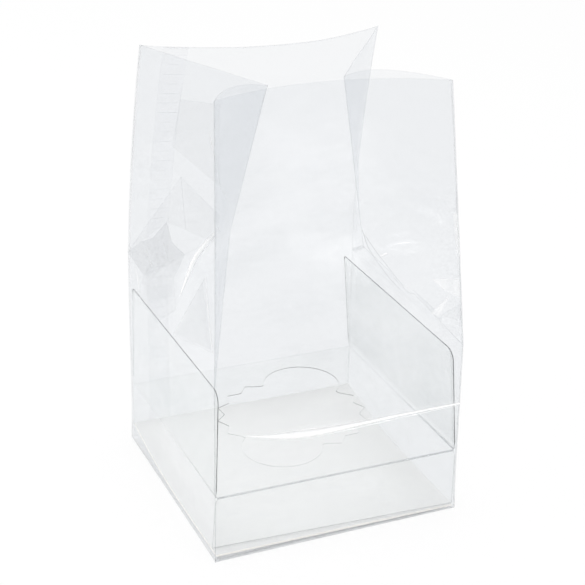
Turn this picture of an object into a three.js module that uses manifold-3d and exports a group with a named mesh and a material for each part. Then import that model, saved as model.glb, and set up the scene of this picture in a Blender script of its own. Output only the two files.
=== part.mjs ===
// Clear cupcake bag: a side-gusseted film bag with a square bottom, the folded plastic insert
// that holds one cupcake clear of the bottom, and the card pad that stiffens the bottom.
// Millimetres, +Z up. The front faces -Y, the right side is +X, and the bag stands on z = 0.

import * as THREE from 'three';
import { mergeVertices } from 'three/addons/utils/BufferGeometryUtils.js';
import Module from 'manifold-3d';

const wasm = await Module();
wasm.setup();

// Film bag, as a square tube up to the shoulder and with folded-in gussets above it
const BAG_WIDTH = 101.6; // front and back panels, outside
const BAG_DEPTH = 101.6; // side gussets, outside
const BAG_HEIGHT = 180; // bottom to mouth, along the film
const FILM = 0.2; // wall of the bag
const SWELL = 0.6; // how far the panels swell past their square below the shoulder
const SEAM_WIDTH = 9; // lap seam down the back panel
const SEAM_FROM_CREASE = 8; // from the back left crease to the seam
const SEAM_LAP = 0.2; // extra thickness where the film laps over itself
const SHOULDER = 72; // height at which the gussets begin to fold in
const RIGHT_APEX = { height: 94, depth: 17, y: 5 }; // where the right diagonal creases meet
const LEFT_APEX = { height: 113, depth: 24, y: -4 }; // and the left ones

// The mouth, each value measured from the square tube
const MOUTH_FOLD = { depth: 35.5, y: -12, drop: 8.5 }; // the two middle folds
const MOUTH_FRONT = { lean: 4, bow: 9, leftIn: 1.9, rightIn: 10.5 };
const MOUTH_BACK = { lean: 22.5, bow: 15, leftIn: 0, rightIn: 2 };
const MOUTH_DROP = { frontLeft: 0.3, frontRight: 1.5, backRight: 2.6, backLeft: 0.6 };
const LEAN_POWER = 1.6; // the panels lean slowly at first and more near the mouth

// Insert: one die-cut plastic sheet, folded
const SHEET = 0.3; // thickness of the sheet
const CLEARANCE = 0.3; // between the insert, the card and the film
const PLATFORM_HEIGHT = 26.3; // top of the platform over the bottom of the bag
const WALL_TOP = 70; // top of the two side walls
const WALL_CORNER = 4.5; // radius of the walls' upper corners
const LEFT_LEAN = 1; // how far the left wall leans in at its top
const RIGHT_LEAN = 3.3; // how far the right wall does
const FRONT_LEG_SWING = 2.4; // how far the front leg swings in at its lower left corner

// Die-cut opening: a star of small petals, with a finger hole at each end
const OPENING_X = 1.8;
const OPENING_Y = 0.4;
const PETAL_TIP = 27.6; // radius to the tips of the petals
const PETAL_ROOT = 30.8; // radius to the roots between them
const PETAL_PITCH = THREE.MathUtils.degToRad(20.8);
const ROOTS_PER_SIDE = 5;
const FINGER_HOLE = 16; // radius of each finger hole
const FINGER_OFFSET = 27; // from the middle of the opening to the middle of a finger hole
const FINGER_TURN = THREE.MathUtils.degToRad(59); // direction of the finger holes from +X

// Card pad on the bottom of the bag
const CARD = 0.9; // thickness
const CARD_LIFT = 6; // how far its rear edge rides up
const CARD_BEND = -8; // y at which it leaves the bottom

// Facets
const PANEL_STEPS = 14; // across a front or back panel
const GUSSET_STEPS = 7; // across half a gusset, and up its diagonal creases
const TUBE_LEVELS = 6; // up to the shoulder
const MOUTH_LEVELS = 9; // from the creases' apex to the mouth
const ARC_STEPS = 8; // round a corner of the insert
const HOLE_STEPS = 64; // round a whole finger hole
const CARD_STEPS = 16; // along the card's bend

const { lerp } = THREE.MathUtils;
const halfWidth = BAG_WIDTH / 2;
const halfDepth = BAG_DEPTH / 2;
const floorTop = FILM + CLEARANCE;
const insertWidth = BAG_WIDTH - 2 * floorTop;
const insertDepth = BAG_DEPTH - 2 * floorTop;

const materials = {
  film: new THREE.MeshStandardMaterial({ color: 0xeef1f5, roughness: 0.12, transparent: true, opacity: 0.3 }),
  sheet: new THREE.MeshStandardMaterial({ color: 0xe9eef0, roughness: 0.08, transparent: true, opacity: 0.4 }),
  card: new THREE.MeshStandardMaterial({ color: 0xf4f2ee, roughness: 0.85 }),
};

// A closed three.js geometry as a solid for joining and cutting.
function toSolid(geometry) {
  const plain = geometry.clone();
  plain.deleteAttribute('normal');
  plain.deleteAttribute('uv');
  const merged = mergeVertices(plain, 1e-4);
  const vertProperties = new Float32Array(merged.attributes.position.array);
  const triVerts = new Uint32Array(merged.index.array);
  return new wasm.Manifold(new wasm.Mesh({ numProp: 3, vertProperties, triVerts }));
}

function toGeometry(positions, triangles) {
  const geometry = new THREE.BufferGeometry();
  geometry.setAttribute('position', new THREE.BufferAttribute(new Float32Array(positions), 3));
  geometry.setIndex(new THREE.BufferAttribute(new Uint32Array(triangles), 1));
  geometry.computeVertexNormals();
  return geometry;
}

function namedMesh(name, geometry, material) {
  const mesh = new THREE.Mesh(geometry, material);
  mesh.name = name;
  return mesh;
}

// Moves every vertex of a geometry by a rule.
function bend(geometry, rule) {
  const position = geometry.attributes.position;
  const point = new THREE.Vector3();
  for (let i = 0; i < position.count; i++) {
    rule(point.fromBufferAttribute(position, i));
    position.setXYZ(i, point.x, point.y, point.z);
  }
  return geometry;
}

// Share of the way from the shoulder to the mouth.
const rise = (height) => Math.max(0, (height - SHOULDER) / (BAG_HEIGHT - SHOULDER));
const lean = (height) => rise(height) ** LEAN_POWER;

// A corner crease of the bag at one height.
function cornerCrease(front, right, height) {
  const mouth = front ? MOUTH_FRONT : MOUTH_BACK;
  const drop = MOUTH_DROP[(front ? 'front' : 'back') + (right ? 'Right' : 'Left')];
  const x = halfWidth - (right ? mouth.rightIn : mouth.leftIn) * rise(height);
  const y = halfDepth - mouth.lean * lean(height);
  return new THREE.Vector3(right ? x : -x, front ? -y : y, height - drop * rise(height));
}

// The middle fold of a gusset, from the apex of its diagonal creases to the mouth.
function middleFold(right, height) {
  const apex = right ? RIGHT_APEX : LEFT_APEX;
  const above = (height - apex.height) / (BAG_HEIGHT - apex.height);
  const x = halfWidth - lerp(apex.depth, MOUTH_FOLD.depth, above);
  return new THREE.Vector3(right ? x : -x, lerp(apex.y, MOUTH_FOLD.y, above), height - MOUTH_FOLD.drop * above);
}

// Half a gusset at one height, from its corner crease towards the middle. Below the apex a flat
// triangle leans in between the two diagonal creases, and crease is the share they have run.
function halfGusset(front, right, height, crease, share) {
  const corner = cornerCrease(front, right, height);
  const apex = right ? RIGHT_APEX : LEFT_APEX;
  if (crease === 1) return corner.lerp(middleFold(right, height), share);
  const top = middleFold(right, apex.height);
  const own = cornerCrease(front, right, SHOULDER).lerp(top, crease);
  const other = cornerCrease(!front, right, SHOULDER).lerp(top, crease);
  if (height <= SHOULDER) {
    own.copy(corner);
    other.copy(cornerCrease(!front, right, height));
  }
  const middle = own.clone().lerp(other, 0.5);
  return share < crease ? corner.lerp(own, share / crease) : own.lerp(middle, (share - crease) / (1 - crease));
}

// A point of the front or back panel, from the left crease to the right one.
function panelPoint(front, share, left, right) {
  const height = lerp(left, right, share);
  const point = cornerCrease(front, false, left).lerp(cornerCrease(front, true, right), share);
  const bow = (front ? MOUTH_FRONT : MOUTH_BACK).bow * lean(height);
  const out = swellAt(height) - bow;
  point.y += (front ? -1 : 1) * out * 4 * share * (1 - share);
  return point;
}

const swellAt = (height) => (height < SHOULDER ? SWELL * Math.sin((Math.PI * height) / SHOULDER) : 0);

// The levels of the bag: heights at the left and right sides, and the run of the diagonal creases.
function bagLevels() {
  const levels = [];
  for (let i = 0; i < TUBE_LEVELS; i++) {
    const height = (SHOULDER * i) / TUBE_LEVELS;
    levels.push({ left: height, right: height, crease: 0 });
  }
  for (let i = 0; i < GUSSET_STEPS; i++) {
    const crease = i / GUSSET_STEPS;
    levels.push({
      left: lerp(SHOULDER, LEFT_APEX.height, crease),
      right: lerp(SHOULDER, RIGHT_APEX.height, crease),
      crease,
    });
  }
  for (let i = 0; i <= MOUTH_LEVELS; i++) {
    const above = i / MOUTH_LEVELS;
    levels.push({
      left: lerp(LEFT_APEX.height, BAG_HEIGHT, above),
      right: lerp(RIGHT_APEX.height, BAG_HEIGHT, above),
      crease: 1,
    });
  }
  return levels;
}

// Shares across the back panel from right to left, with a pair of points at each edge of the seam.
function backShares() {
  const step = SEAM_LAP / BAG_WIDTH;
  const start = (SEAM_FROM_CREASE + SEAM_WIDTH) / BAG_WIDTH;
  const end = SEAM_FROM_CREASE / BAG_WIDTH;
  const shares = [];
  for (let i = 0; i < PANEL_STEPS; i++) {
    const share = 1 - i / PANEL_STEPS;
    if (share > start + 0.02) shares.push({ share, lap: 0 });
  }
  shares.push({ share: start + step, lap: 0 }, { share: start, lap: SEAM_LAP });
  shares.push({ share: end, lap: SEAM_LAP }, { share: end - step, lap: 0 });
  return shares;
}

// One turn round the bag at a level, anticlockwise seen from above, from the front left crease.
function turnAt({ left, right, crease }) {
  const turn = [];
  const gusset = (front, isRight, steps) => {
    const height = isRight ? right : left;
    for (const share of steps) turn.push({ point: halfGusset(front, isRight, height, crease, share), wall: FILM });
  };
  const inward = Array.from({ length: GUSSET_STEPS }, (_, i) => i / GUSSET_STEPS);
  const outward = inward.map((share) => 1 - share);
  for (let i = 0; i < PANEL_STEPS; i++) {
    turn.push({ point: panelPoint(true, i / PANEL_STEPS, left, right), wall: FILM });
  }
  gusset(true, true, inward);
  gusset(false, true, outward);
  for (const { share, lap } of backShares()) {
    turn.push({ point: panelPoint(false, share, left, right), wall: FILM + lap });
  }
  gusset(false, false, inward);
  gusset(true, false, outward);
  return turn;
}

// The inner face's point for each point of a turn, a wall's thickness inside it.
function insideOf(turn, floor) {
  return turn.map(({ point, wall }, i) => {
    const before = turn[(i + turn.length - 1) % turn.length].point;
    const after = turn[(i + 1) % turn.length].point;
    const first = new THREE.Vector2(point.x - before.x, point.y - before.y).normalize();
    const second = new THREE.Vector2(after.x - point.x, after.y - point.y).normalize();
    const mean = first.clone().add(second).normalize();
    const reach = wall / mean.dot(second);
    return new THREE.Vector3(point.x - mean.y * reach, point.y + mean.x * reach, Math.max(point.z, floor));
  });
}

function filmBag() {
  const turns = bagLevels().map(turnAt);
  const outer = turns.map((turn) => turn.map(({ point }) => point));
  const inside = turns.map((turn) => insideOf(turn, FILM));
  const count = outer[0].length;
  const rings = turns.length;
  const positions = [];
  for (const ring of [...outer, ...inside]) for (const point of ring) positions.push(...point.toArray());
  const at = (side, ring, i) => (side * rings + ring) * count + (i % count);
  const triangles = [];
  const backHalfStarts = PANEL_STEPS + GUSSET_STEPS;
  const frontHalfStarts = count - GUSSET_STEPS;
  // The diagonal creases rise with the turn in one half of a gusset and against it in the other.
  const rises = (i) => i < backHalfStarts || (i >= frontHalfStarts - GUSSET_STEPS && i < frontHalfStarts);
  const quad = (a, b, c, d, alongAC) => {
    if (alongAC) triangles.push(a, b, c, a, c, d);
    else triangles.push(a, b, d, b, c, d);
  };
  for (let ring = 0; ring < rings - 1; ring++) {
    for (let i = 0; i < count; i++) {
      quad(at(0, ring, i), at(0, ring, i + 1), at(0, ring + 1, i + 1), at(0, ring + 1, i), rises(i));
      quad(at(1, ring, i + 1), at(1, ring, i), at(1, ring + 1, i), at(1, ring + 1, i + 1), !rises(i));
    }
  }
  const under = positions.length / 3;
  positions.push(0, 0, 0, 0, 0, FILM);
  for (let i = 0; i < count; i++) {
    quad(at(0, rings - 1, i), at(0, rings - 1, i + 1), at(1, rings - 1, i + 1), at(1, rings - 1, i), true);
    triangles.push(under, at(0, 0, i + 1), at(0, 0, i));
    triangles.push(under + 1, at(1, 0, i), at(1, 0, i + 1));
  }
  return toGeometry(positions, triangles);
}

// A wall of the insert, standing on the platform's edge, with rounded upper corners.
function insertWall(right) {
  const half = insertDepth / 2;
  const low = PLATFORM_HEIGHT - SHEET;
  const outline = new THREE.Shape();
  outline.moveTo(-half, low);
  outline.lineTo(half, low);
  outline.lineTo(half, WALL_TOP - WALL_CORNER);
  outline.absarc(half - WALL_CORNER, WALL_TOP - WALL_CORNER, WALL_CORNER, 0, Math.PI / 2);
  outline.lineTo(-half + WALL_CORNER, WALL_TOP);
  outline.absarc(-half + WALL_CORNER, WALL_TOP - WALL_CORNER, WALL_CORNER, Math.PI / 2, Math.PI);
  outline.lineTo(-half, low);
  const geometry = new THREE.ExtrudeGeometry(outline, { depth: SHEET, bevelEnabled: false, curveSegments: ARC_STEPS });
  const upright = new THREE.Matrix4().makeBasis(
    new THREE.Vector3(0, 1, 0),
    new THREE.Vector3(0, 0, 1),
    new THREE.Vector3(1, 0, 0),
  );
  geometry.applyMatrix4(upright);
  geometry.translate(right ? insertWidth / 2 - SHEET : -insertWidth / 2, 0, 0);
  return bend(geometry, (point) => {
    const up = (point.z - low) / (WALL_TOP - low);
    point.x += (right ? -RIGHT_LEAN : LEFT_LEAN) * up;
  });
}

// A leg of the insert, hanging from the platform's front or rear edge.
function insertLeg(front, bottom, swing) {
  const height = PLATFORM_HEIGHT - bottom;
  const geometry = new THREE.BoxGeometry(insertWidth, SHEET, height);
  const y = (insertDepth - SHEET) / 2;
  geometry.translate(0, front ? -y : y, bottom + height / 2);
  return bend(geometry, (point) => {
    const down = (PLATFORM_HEIGHT - point.z) / height;
    const left = 0.5 - point.x / insertWidth;
    point.y += swing * down * left;
  });
}

// The opening's cutter: the star of petals and the two finger holes.
function openingCutter() {
  const height = 4 * SHEET;
  const star = new THREE.Shape();
  for (const side of [1, -1]) {
    const middle = FINGER_TURN + (side * Math.PI) / 2;
    for (let i = 0; i <= 2 * ROOTS_PER_SIDE; i++) {
      const angle = middle + (i / 2 - ROOTS_PER_SIDE / 2) * PETAL_PITCH;
      const radius = i % 2 ? PETAL_ROOT : PETAL_TIP;
      const point = new THREE.Vector2(radius * Math.cos(angle), radius * Math.sin(angle));
      if (side === 1 && i === 0) star.moveTo(point.x, point.y);
      else star.lineTo(point.x, point.y);
    }
  }
  let cutter = toSolid(new THREE.ExtrudeGeometry(star, { depth: height, bevelEnabled: false }));
  for (const side of [1, -1]) {
    const hole = new THREE.CylinderGeometry(FINGER_HOLE, FINGER_HOLE, height, HOLE_STEPS);
    hole.rotateX(Math.PI / 2);
    const reach = side * FINGER_OFFSET;
    hole.translate(reach * Math.cos(FINGER_TURN), reach * Math.sin(FINGER_TURN), height / 2);
    cutter = cutter.add(toSolid(hole));
  }
  return cutter.translate([OPENING_X, OPENING_Y, PLATFORM_HEIGHT - SHEET / 2 - height / 2]);
}

function cupcakeInsert() {
  const platform = new THREE.BoxGeometry(insertWidth, insertDepth, SHEET);
  platform.translate(0, 0, PLATFORM_HEIGHT - SHEET / 2);
  const solid = toSolid(platform)
    .subtract(openingCutter())
    .add(toSolid(insertWall(false)))
    .add(toSolid(insertWall(true)))
    .add(toSolid(insertLeg(true, floorTop + CARD + CLEARANCE, FRONT_LEG_SWING)))
    .add(toSolid(insertLeg(false, floorTop, 0)));
  const { vertProperties, triVerts } = solid.getMesh();
  return toGeometry(vertProperties, triVerts);
}

// The card lies flat at the front and bends up towards its rear edge, inside the rear leg.
function cardPad() {
  const front = -insertDepth / 2;
  const rear = insertDepth / 2 - SHEET - CLEARANCE;
  const geometry = new THREE.BoxGeometry(insertWidth, rear - front, CARD, 1, CARD_STEPS, 1);
  geometry.translate(0, (front + rear) / 2, floorTop + CARD / 2);
  return bend(geometry, (point) => {
    const share = Math.max(0, (point.y - CARD_BEND) / (rear - CARD_BEND));
    point.z += CARD_LIFT * share ** 2;
  });
}

const cupcakeBag = new THREE.Group();
cupcakeBag.add(
  namedMesh('film_bag', filmBag(), materials.film),
  namedMesh('cupcake_insert', cupcakeInsert(), materials.sheet),
  namedMesh('base_card', cardPad(), materials.card),
);

export default cupcakeBag;
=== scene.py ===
"""Clear cupcake bag: the gusseted film bag, its folded insert and its card pad, dressed in Blender."""

import math

import bmesh
import bpy
from bpy.props import FloatProperty, FloatVectorProperty, IntProperty, PointerProperty
from mathutils import Matrix, Vector, noise


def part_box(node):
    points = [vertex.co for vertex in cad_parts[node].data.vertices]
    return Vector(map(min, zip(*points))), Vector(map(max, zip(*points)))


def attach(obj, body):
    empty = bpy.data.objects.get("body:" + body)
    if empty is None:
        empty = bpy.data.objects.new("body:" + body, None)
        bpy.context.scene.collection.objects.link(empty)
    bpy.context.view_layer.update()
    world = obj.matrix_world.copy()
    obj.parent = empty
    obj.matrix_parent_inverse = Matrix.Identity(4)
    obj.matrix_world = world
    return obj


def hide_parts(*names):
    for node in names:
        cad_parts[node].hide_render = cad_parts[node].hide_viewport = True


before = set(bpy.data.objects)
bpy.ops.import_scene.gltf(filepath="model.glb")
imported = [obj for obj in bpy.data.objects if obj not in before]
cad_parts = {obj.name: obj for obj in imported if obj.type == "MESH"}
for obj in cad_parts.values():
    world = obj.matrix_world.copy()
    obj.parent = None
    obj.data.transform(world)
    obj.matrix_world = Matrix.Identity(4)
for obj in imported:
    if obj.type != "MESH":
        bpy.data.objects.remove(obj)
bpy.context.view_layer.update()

bl_info = {
    "name": "Cupcake Bag",
    "version": (1, 0, 0),
    "blender": (4, 5, 0),
    "location": "View3D > Sidebar > Cupcake Bag",
    "description": "Builds a clear gusseted bag with a folded cupcake insert and a card pad",
    "category": "Add Mesh",
}

MM = 0.001
BODY = "root"
FILM_LOW, FILM_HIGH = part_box("film_bag")
INSERT_LOW, INSERT_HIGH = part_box("cupcake_insert")
CARD_LOW, CARD_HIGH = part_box("base_card")
FILM_WIDTH = FILM_HIGH[0] - FILM_LOW[0]
INSERT_WIDTH = INSERT_HIGH[0] - INSERT_LOW[0]
INSERT_DEPTH = INSERT_HIGH[1] - INSERT_LOW[1]
# The flat film in mm: one panel's width, and the heights of the mouth, the shoulder and the points where the
# diagonal creases meet.
PANEL, MOUTH, SHOULDER, RIGHT_APEX, LEFT_APEX = 101.6, 180, 72, 94, 113


def length(name, default, description):
    """A property for a size in metres, given in millimetres."""
    return FloatProperty(name=name, description=description, default=default * MM, unit="LENGTH", precision=5)


def degrees(name, value, description):
    """A property for an angle, given in degrees."""
    return FloatProperty(name=name, description=description, default=math.radians(value), subtype="ANGLE")


def colour(name, default, description):
    return FloatVectorProperty(name=name, description=description, default=default, size=3, subtype="COLOR",
                               min=0.0, max=1.0)


class FilmSizes(bpy.types.PropertyGroup):
    """The film bag: a square tube up to its shoulder, with gussets folded in above it."""

    width: FloatProperty(name="Width", description="Front and back panels", default=FILM_WIDTH, unit="LENGTH")
    height: length("Height", MOUTH, "Bottom to mouth along the film")
    wall: length("Film", 0.2, "Thickness of the film")
    swell: length("Swell", 0.6, "How far the panels swell below the shoulder")
    shoulder: length("Shoulder", SHOULDER, "Height at which the gussets begin to fold in")
    right_apex: length("Right apex", RIGHT_APEX, "Height where the right diagonal creases meet")
    right_depth: length("Right apex depth", 17, "How deep that point lies")
    right_back: length("Right apex place", 5, "How far behind the middle it lies")
    left_apex: length("Left apex", LEFT_APEX, "Height where the left diagonal creases meet")
    left_depth: length("Left apex depth", 24, "How deep that point lies")
    left_back: length("Left apex place", -4, "How far behind the middle it lies")
    fold_depth: length("Mouth fold depth", 35.5, "How deep the middle folds lie at the mouth")
    fold_back: length("Mouth fold place", -12, "How far behind the middle they lie there")
    fold_drop: length("Mouth fold drop", 8.5, "How much lower they end")
    lean_power: FloatProperty(name="Lean", description="How late the panels lean in", default=1.6)
    seam_width: length("Seam width", 9, "Lap seam down the back panel")
    seam_place: length("Seam place", 8, "From the back left crease to the seam")
    rib_pitch: length("Rib pitch", 4.6, "Spacing of the puckers across the seam")
    tint: colour("Film tint", (0.962, 0.966, 0.971), "What one face of the film lets through")
    haze: colour("Film haze", (0.90, 0.91, 0.92), "What the film's own haze looks like")


class InsertSizes(bpy.types.PropertyGroup):
    """The folded insert: platform, two walls and two legs from one sheet."""

    sheet: length("Sheet", 0.3, "Thickness of the sheet")
    platform: length("Platform", 26.3, "Top of the platform over the bottom")
    wall_corner: length("Wall corner", 4.5, "Radius of the walls' upper front corners")
    wall_heel: length("Wall heel", 1.0, "Radius of the walls' upper rear corners")
    left_lean: length("Left lean", 1, "How far the left wall leans in at its top")
    right_lean: length("Right lean", 3.3, "How far the right wall leans in")
    fold_radius: length("Fold radius", 0.5, "Outer radius of each fold")
    leg_swing: length("Leg swing", 4.2, "How far the front leg swings in at its lower left corner")
    opening_x: length("Opening x", 1.8, "Middle of the opening")
    opening_y: length("Opening y", 0.4, "Middle of the opening")
    petal_tip: length("Petal tip", 27.6, "Radius to the tips of the petals")
    petal_root: length("Petal root", 30.8, "Radius to the roots between them")
    petal_pitch: degrees("Petal pitch", 20.8, "Angle between roots")
    roots: IntProperty(name="Roots", description="Roots between petals on each side", default=5)
    finger_hole: length("Finger hole", 16, "Radius of each finger hole")
    finger_offset: length("Finger offset", 27, "From the opening's middle to each finger hole's")
    finger_turn: degrees("Finger turn", 59, "Direction of the finger holes")
    tint: colour("Sheet tint", (0.995, 0.996, 0.995), "What one face of the sheet lets through")
    edge: colour("Cut edge", (0.045, 0.05, 0.052), "The sheet's cut edges, seen end on")


class CardSizes(bpy.types.PropertyGroup):
    """The card pad on the bottom of the bag."""

    thickness: length("Thickness", 0.9, "Thickness of the card")
    lift: length("Lift", 6, "How far its rear edge rides up")
    bend: length("Bend", -8, "Where it leaves the bottom")
    face: colour("Face", (0.92, 0.915, 0.90), "The white liner")
    core: colour("Core", (0.84, 0.81, 0.76), "The grey-beige core at the cut edges")


class StageSizes(bpy.types.PropertyGroup):
    """Camera, lamps and floor."""

    lens: FloatProperty(name="Lens", description="Focal length in mm for a 36 mm frame", default=101.66)
    camera: FloatVectorProperty(name="Camera", description="Where the camera stands",
                                default=(-0.2339, -0.5479, 0.3496), size=3, subtype="TRANSLATION")
    yaw: degrees("Yaw", 23.21, "Turn to the left of the front")
    pitch: degrees("Pitch", 24.247, "Height over the horizon")
    roll: degrees("Roll", 0.872, "Tilt of the frame")
    sky: FloatProperty(name="Sky", description="Strength of the white surroundings", default=0.74)
    floor: colour("Floor", (0.92, 0.92, 0.92), "The pale floor")


class Wire:
    """A shader socket whose sums, products and comparisons add Math nodes to its tree."""

    def __init__(self, graph, socket):
        self.graph = graph
        self.socket = socket

    def maths(self, operation, *values, clamp=False):
        node = self.graph.node("ShaderNodeMath", {"operation": operation, "use_clamp": clamp}, *values)
        return Wire(self.graph, node.outputs[0])

    def __add__(self, other):
        return self.maths("ADD", self, other)

    __radd__ = __add__

    def __mul__(self, other):
        return self.maths("MULTIPLY", self, other)

    __rmul__ = __mul__

    def __sub__(self, other):
        return self.maths("SUBTRACT", self, other)

    def __rsub__(self, other):
        return self.maths("SUBTRACT", other, self)

    def __pow__(self, other):
        return self.maths("POWER", self, other)

    def held(self):
        """Kept between 0 and 1."""
        return self.maths("ADD", self, 0.0, clamp=True)

    def fade(self, start, end):
        """0 at start, 1 at end, smooth between them."""
        smooth = {"interpolation_type": "SMOOTHSTEP"}
        node = self.graph.node("ShaderNodeMapRange", smooth, self, start, end, 0.0, 1.0)
        return Wire(self.graph, node.outputs[0])


class Graph:
    """A material's node tree, built from calls."""

    def __init__(self, name):
        self.material = bpy.data.materials.new(name)
        self.material.use_nodes = True
        self.tree = self.material.node_tree
        self.tree.nodes.clear()

    def node(self, kind, settings=None, *values, **named):
        """A node of that type, its settings set first, then its sockets by place or by name."""
        node = self.tree.nodes.new(kind)
        for key, value in (settings or {}).items():
            setattr(node, key, value)
        for socket, value in zip(node.inputs, values):
            self.feed(socket, value)
        for key, value in named.items():
            self.feed(node.inputs[key.replace("_", " ")], value)
        return node

    def feed(self, socket, value):
        if value is None:
            return
        if isinstance(value, Wire):
            self.tree.links.new(value.socket, socket)
        elif isinstance(value, bpy.types.NodeSocket):
            self.tree.links.new(value, socket)
        else:
            socket.default_value = value

    def wire(self, node, output=0):
        return Wire(self, node.outputs[output])

    def object_point(self):
        return self.wire(self.node("ShaderNodeTexCoord"), "Object")

    def slant(self):
        """1 less the cosine of the angle at which a face is seen, for gloss that grows as plastic's does."""
        return self.wire(self.node("ShaderNodeLayerWeight", None, 0.5), "Facing")

    def attribute(self, name):
        return self.wire(self.node("ShaderNodeAttribute", {"attribute_name": name}), "Fac")

    def uv_point(self, name):
        return self.wire(self.node("ShaderNodeUVMap", {"uv_map": name}), "UV")

    def noise(self, point, scale, detail=3.0, roughness=0.5, stretch=None):
        if stretch:
            point = self.wire(self.node("ShaderNodeMapping", None, point, Scale=stretch))
        node = self.node("ShaderNodeTexNoise", None,
                         Vector=point, Scale=scale, Detail=detail, Roughness=roughness)
        return self.wire(node, 0)

    def split(self, point):
        node = self.node("ShaderNodeSeparateXYZ", None, point)
        return [self.wire(node, i) for i in range(3)]

    def blend_colours(self, factor, low, high):
        node = self.node("ShaderNodeMix", {"data_type": "RGBA"})
        self.feed(node.inputs["Factor"], factor)
        self.feed(node.inputs[6], low)
        self.feed(node.inputs[7], high)
        return self.wire(node, 2)

    def bump(self, height, strength, distance):
        node = self.node("ShaderNodeBump", None, Strength=strength, Distance=distance, Height=height)
        return self.wire(node, 0)

    def finish(self, surface):
        output = self.node("ShaderNodeOutputMaterial")
        self.feed(output.inputs["Surface"], surface)
        return self.material


def rgba(values):
    return (*values, 1.0)


def seen_through(graph, factor, tint, **principled):
    """A Principled surface mixed with a Transparent one by a factor."""
    clear = graph.node("ShaderNodeBsdfTransparent", None, rgba(tint))
    body = graph.node("ShaderNodeBsdfPrincipled")
    for key, value in principled.items():
        graph.feed(body.inputs[key.replace("_", " ")], value)
    mix = graph.node("ShaderNodeMixShader", None, factor)
    graph.feed(mix.inputs[1], graph.wire(clear))
    graph.feed(mix.inputs[2], graph.wire(body))
    return graph.finish(graph.wire(mix))


def film_material(name, film, tint, gloss=1.0):
    """Clear film: a thin gloss over what shows through, with soft clouds, haze where it is creased, and a
    painted highlight along the front ridge.
    """
    graph = Graph(name)
    flat = graph.uv_point("flat_film")
    slant = graph.slant()
    cloud = graph.noise(flat, 26.0, 3.0, 0.55, stretch=(0.7, 1.4, 1.0))
    ripple = graph.noise(flat, 60.0, 3.0, 0.55, stretch=(0.8, 2.4, 1.0))
    crinkle = graph.noise(flat, 300.0, 3.0, 0.65)
    crease = graph.attribute("crease")
    crushed = graph.attribute("crushed")
    # A painted highlight along the front ridge: it whitens the haze and the base colour.
    whitened = graph.attribute("whitened")
    handled = 1 - 0.75 * graph.split(flat)[1].fade(0.118, 0.150)
    haze = gloss * (0.02 + 0.13 * handled * cloud.fade(0.40, 0.74)) + 0.35 * slant ** 5 + 0.02 * crease
    haze = haze + 0.10 * crushed * crinkle.fade(0.4, 0.7) + 0.30 * whitened
    height = ripple + crinkle * (0.03 + 0.5 * crushed)
    return seen_through(
        graph, haze.held(), tint,
        Base_Color=graph.blend_colours(whitened, rgba(film.haze), (0.98, 0.98, 0.98, 1.0)),
        Roughness=(0.12 + 0.12 * cloud + 0.15 * crushed).held(),
        IOR=1.9,
        Coat_Weight=1.0,
        Coat_Roughness=0.06,
        Normal=graph.bump(height, 0.6, 0.0012),
    )


def film_edge_material(film):
    """The film's cut edge round the mouth, a fine pale line."""
    graph = Graph("film_edge")
    patch = graph.noise(graph.object_point(), 60.0)
    across = graph.split(graph.uv_point("flat_film"))[0]
    rear_left = across.fade(3 * film.width, 3.06 * film.width)
    rear_left = rear_left * (1 - across.fade(3.4 * film.width, 3.5 * film.width))
    return seen_through(graph, ((0.06 + 0.30 * patch) * (1 - 0.8 * rear_left)).held(), (0.97, 0.975, 0.98),
                        Base_Color=(0.50, 0.52, 0.54, 1.0), Roughness=0.3)


def crease_material(name, shade):
    """A sharp fold in clear plastic: a thin line, as strong as its own attribute says and a little broken."""
    graph = Graph(name)
    patch = graph.noise(graph.object_point(), 85.0, 3.0, 0.6)
    factor = graph.attribute("strength") * (0.35 + 1.1 * patch)
    return seen_through(graph, factor.held(), (0.995, 0.996, 0.997), Base_Color=rgba(shade), Roughness=0.22,
                        Coat_Weight=0.5)


def sheet_material(sizes):
    """The insert's clear sheet: glassy, with a faint drawn streakiness, and a painted shade that greys it
    where the mesh marks it.
    """
    graph = Graph("clear_sheet")
    place = graph.object_point()
    slant = graph.slant()
    drawn = graph.noise(place, 40.0, 3.0, 0.5, stretch=(1.0, 3.5, 1.0))
    fine = graph.noise(place, 420.0, 2.0, 0.5)
    # Painted shade: where the mesh marks it, the sheet turns grey and less clear.
    veil = graph.attribute("veil")
    factor = 0.012 + 0.40 * slant ** 5 + 0.012 * drawn + veil * (0.6 + 0.8 * drawn)
    shade = graph.blend_colours((10 * veil).held(), (0.86, 0.885, 0.88, 1.0), (0.45, 0.49, 0.49, 1.0))
    return seen_through(graph, factor.held(), sizes.tint, Base_Color=shade,
                        Roughness=(0.04 + 0.06 * drawn).held(), IOR=1.75, Coat_Weight=0.5,
                        Coat_Roughness=0.03, Normal=graph.bump(drawn + 0.1 * fine, 0.15, 0.0003))


def sheet_edge_material(sizes):
    """The die-cut edge, dark where it is seen end on and a little uneven from the cutter."""
    graph = Graph("sheet_cut_edge")
    uneven = graph.noise(graph.object_point(), 240.0, 3.0, 0.6)
    shade = graph.blend_colours(uneven.fade(0.35, 0.75), rgba(sizes.edge), (0.22, 0.235, 0.24, 1.0))
    factor = graph.attribute("strength") * (0.75 + 0.4 * uneven)
    return seen_through(graph, factor.held(), (0.96, 0.97, 0.965), Base_Color=shade, Roughness=0.25)


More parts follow.
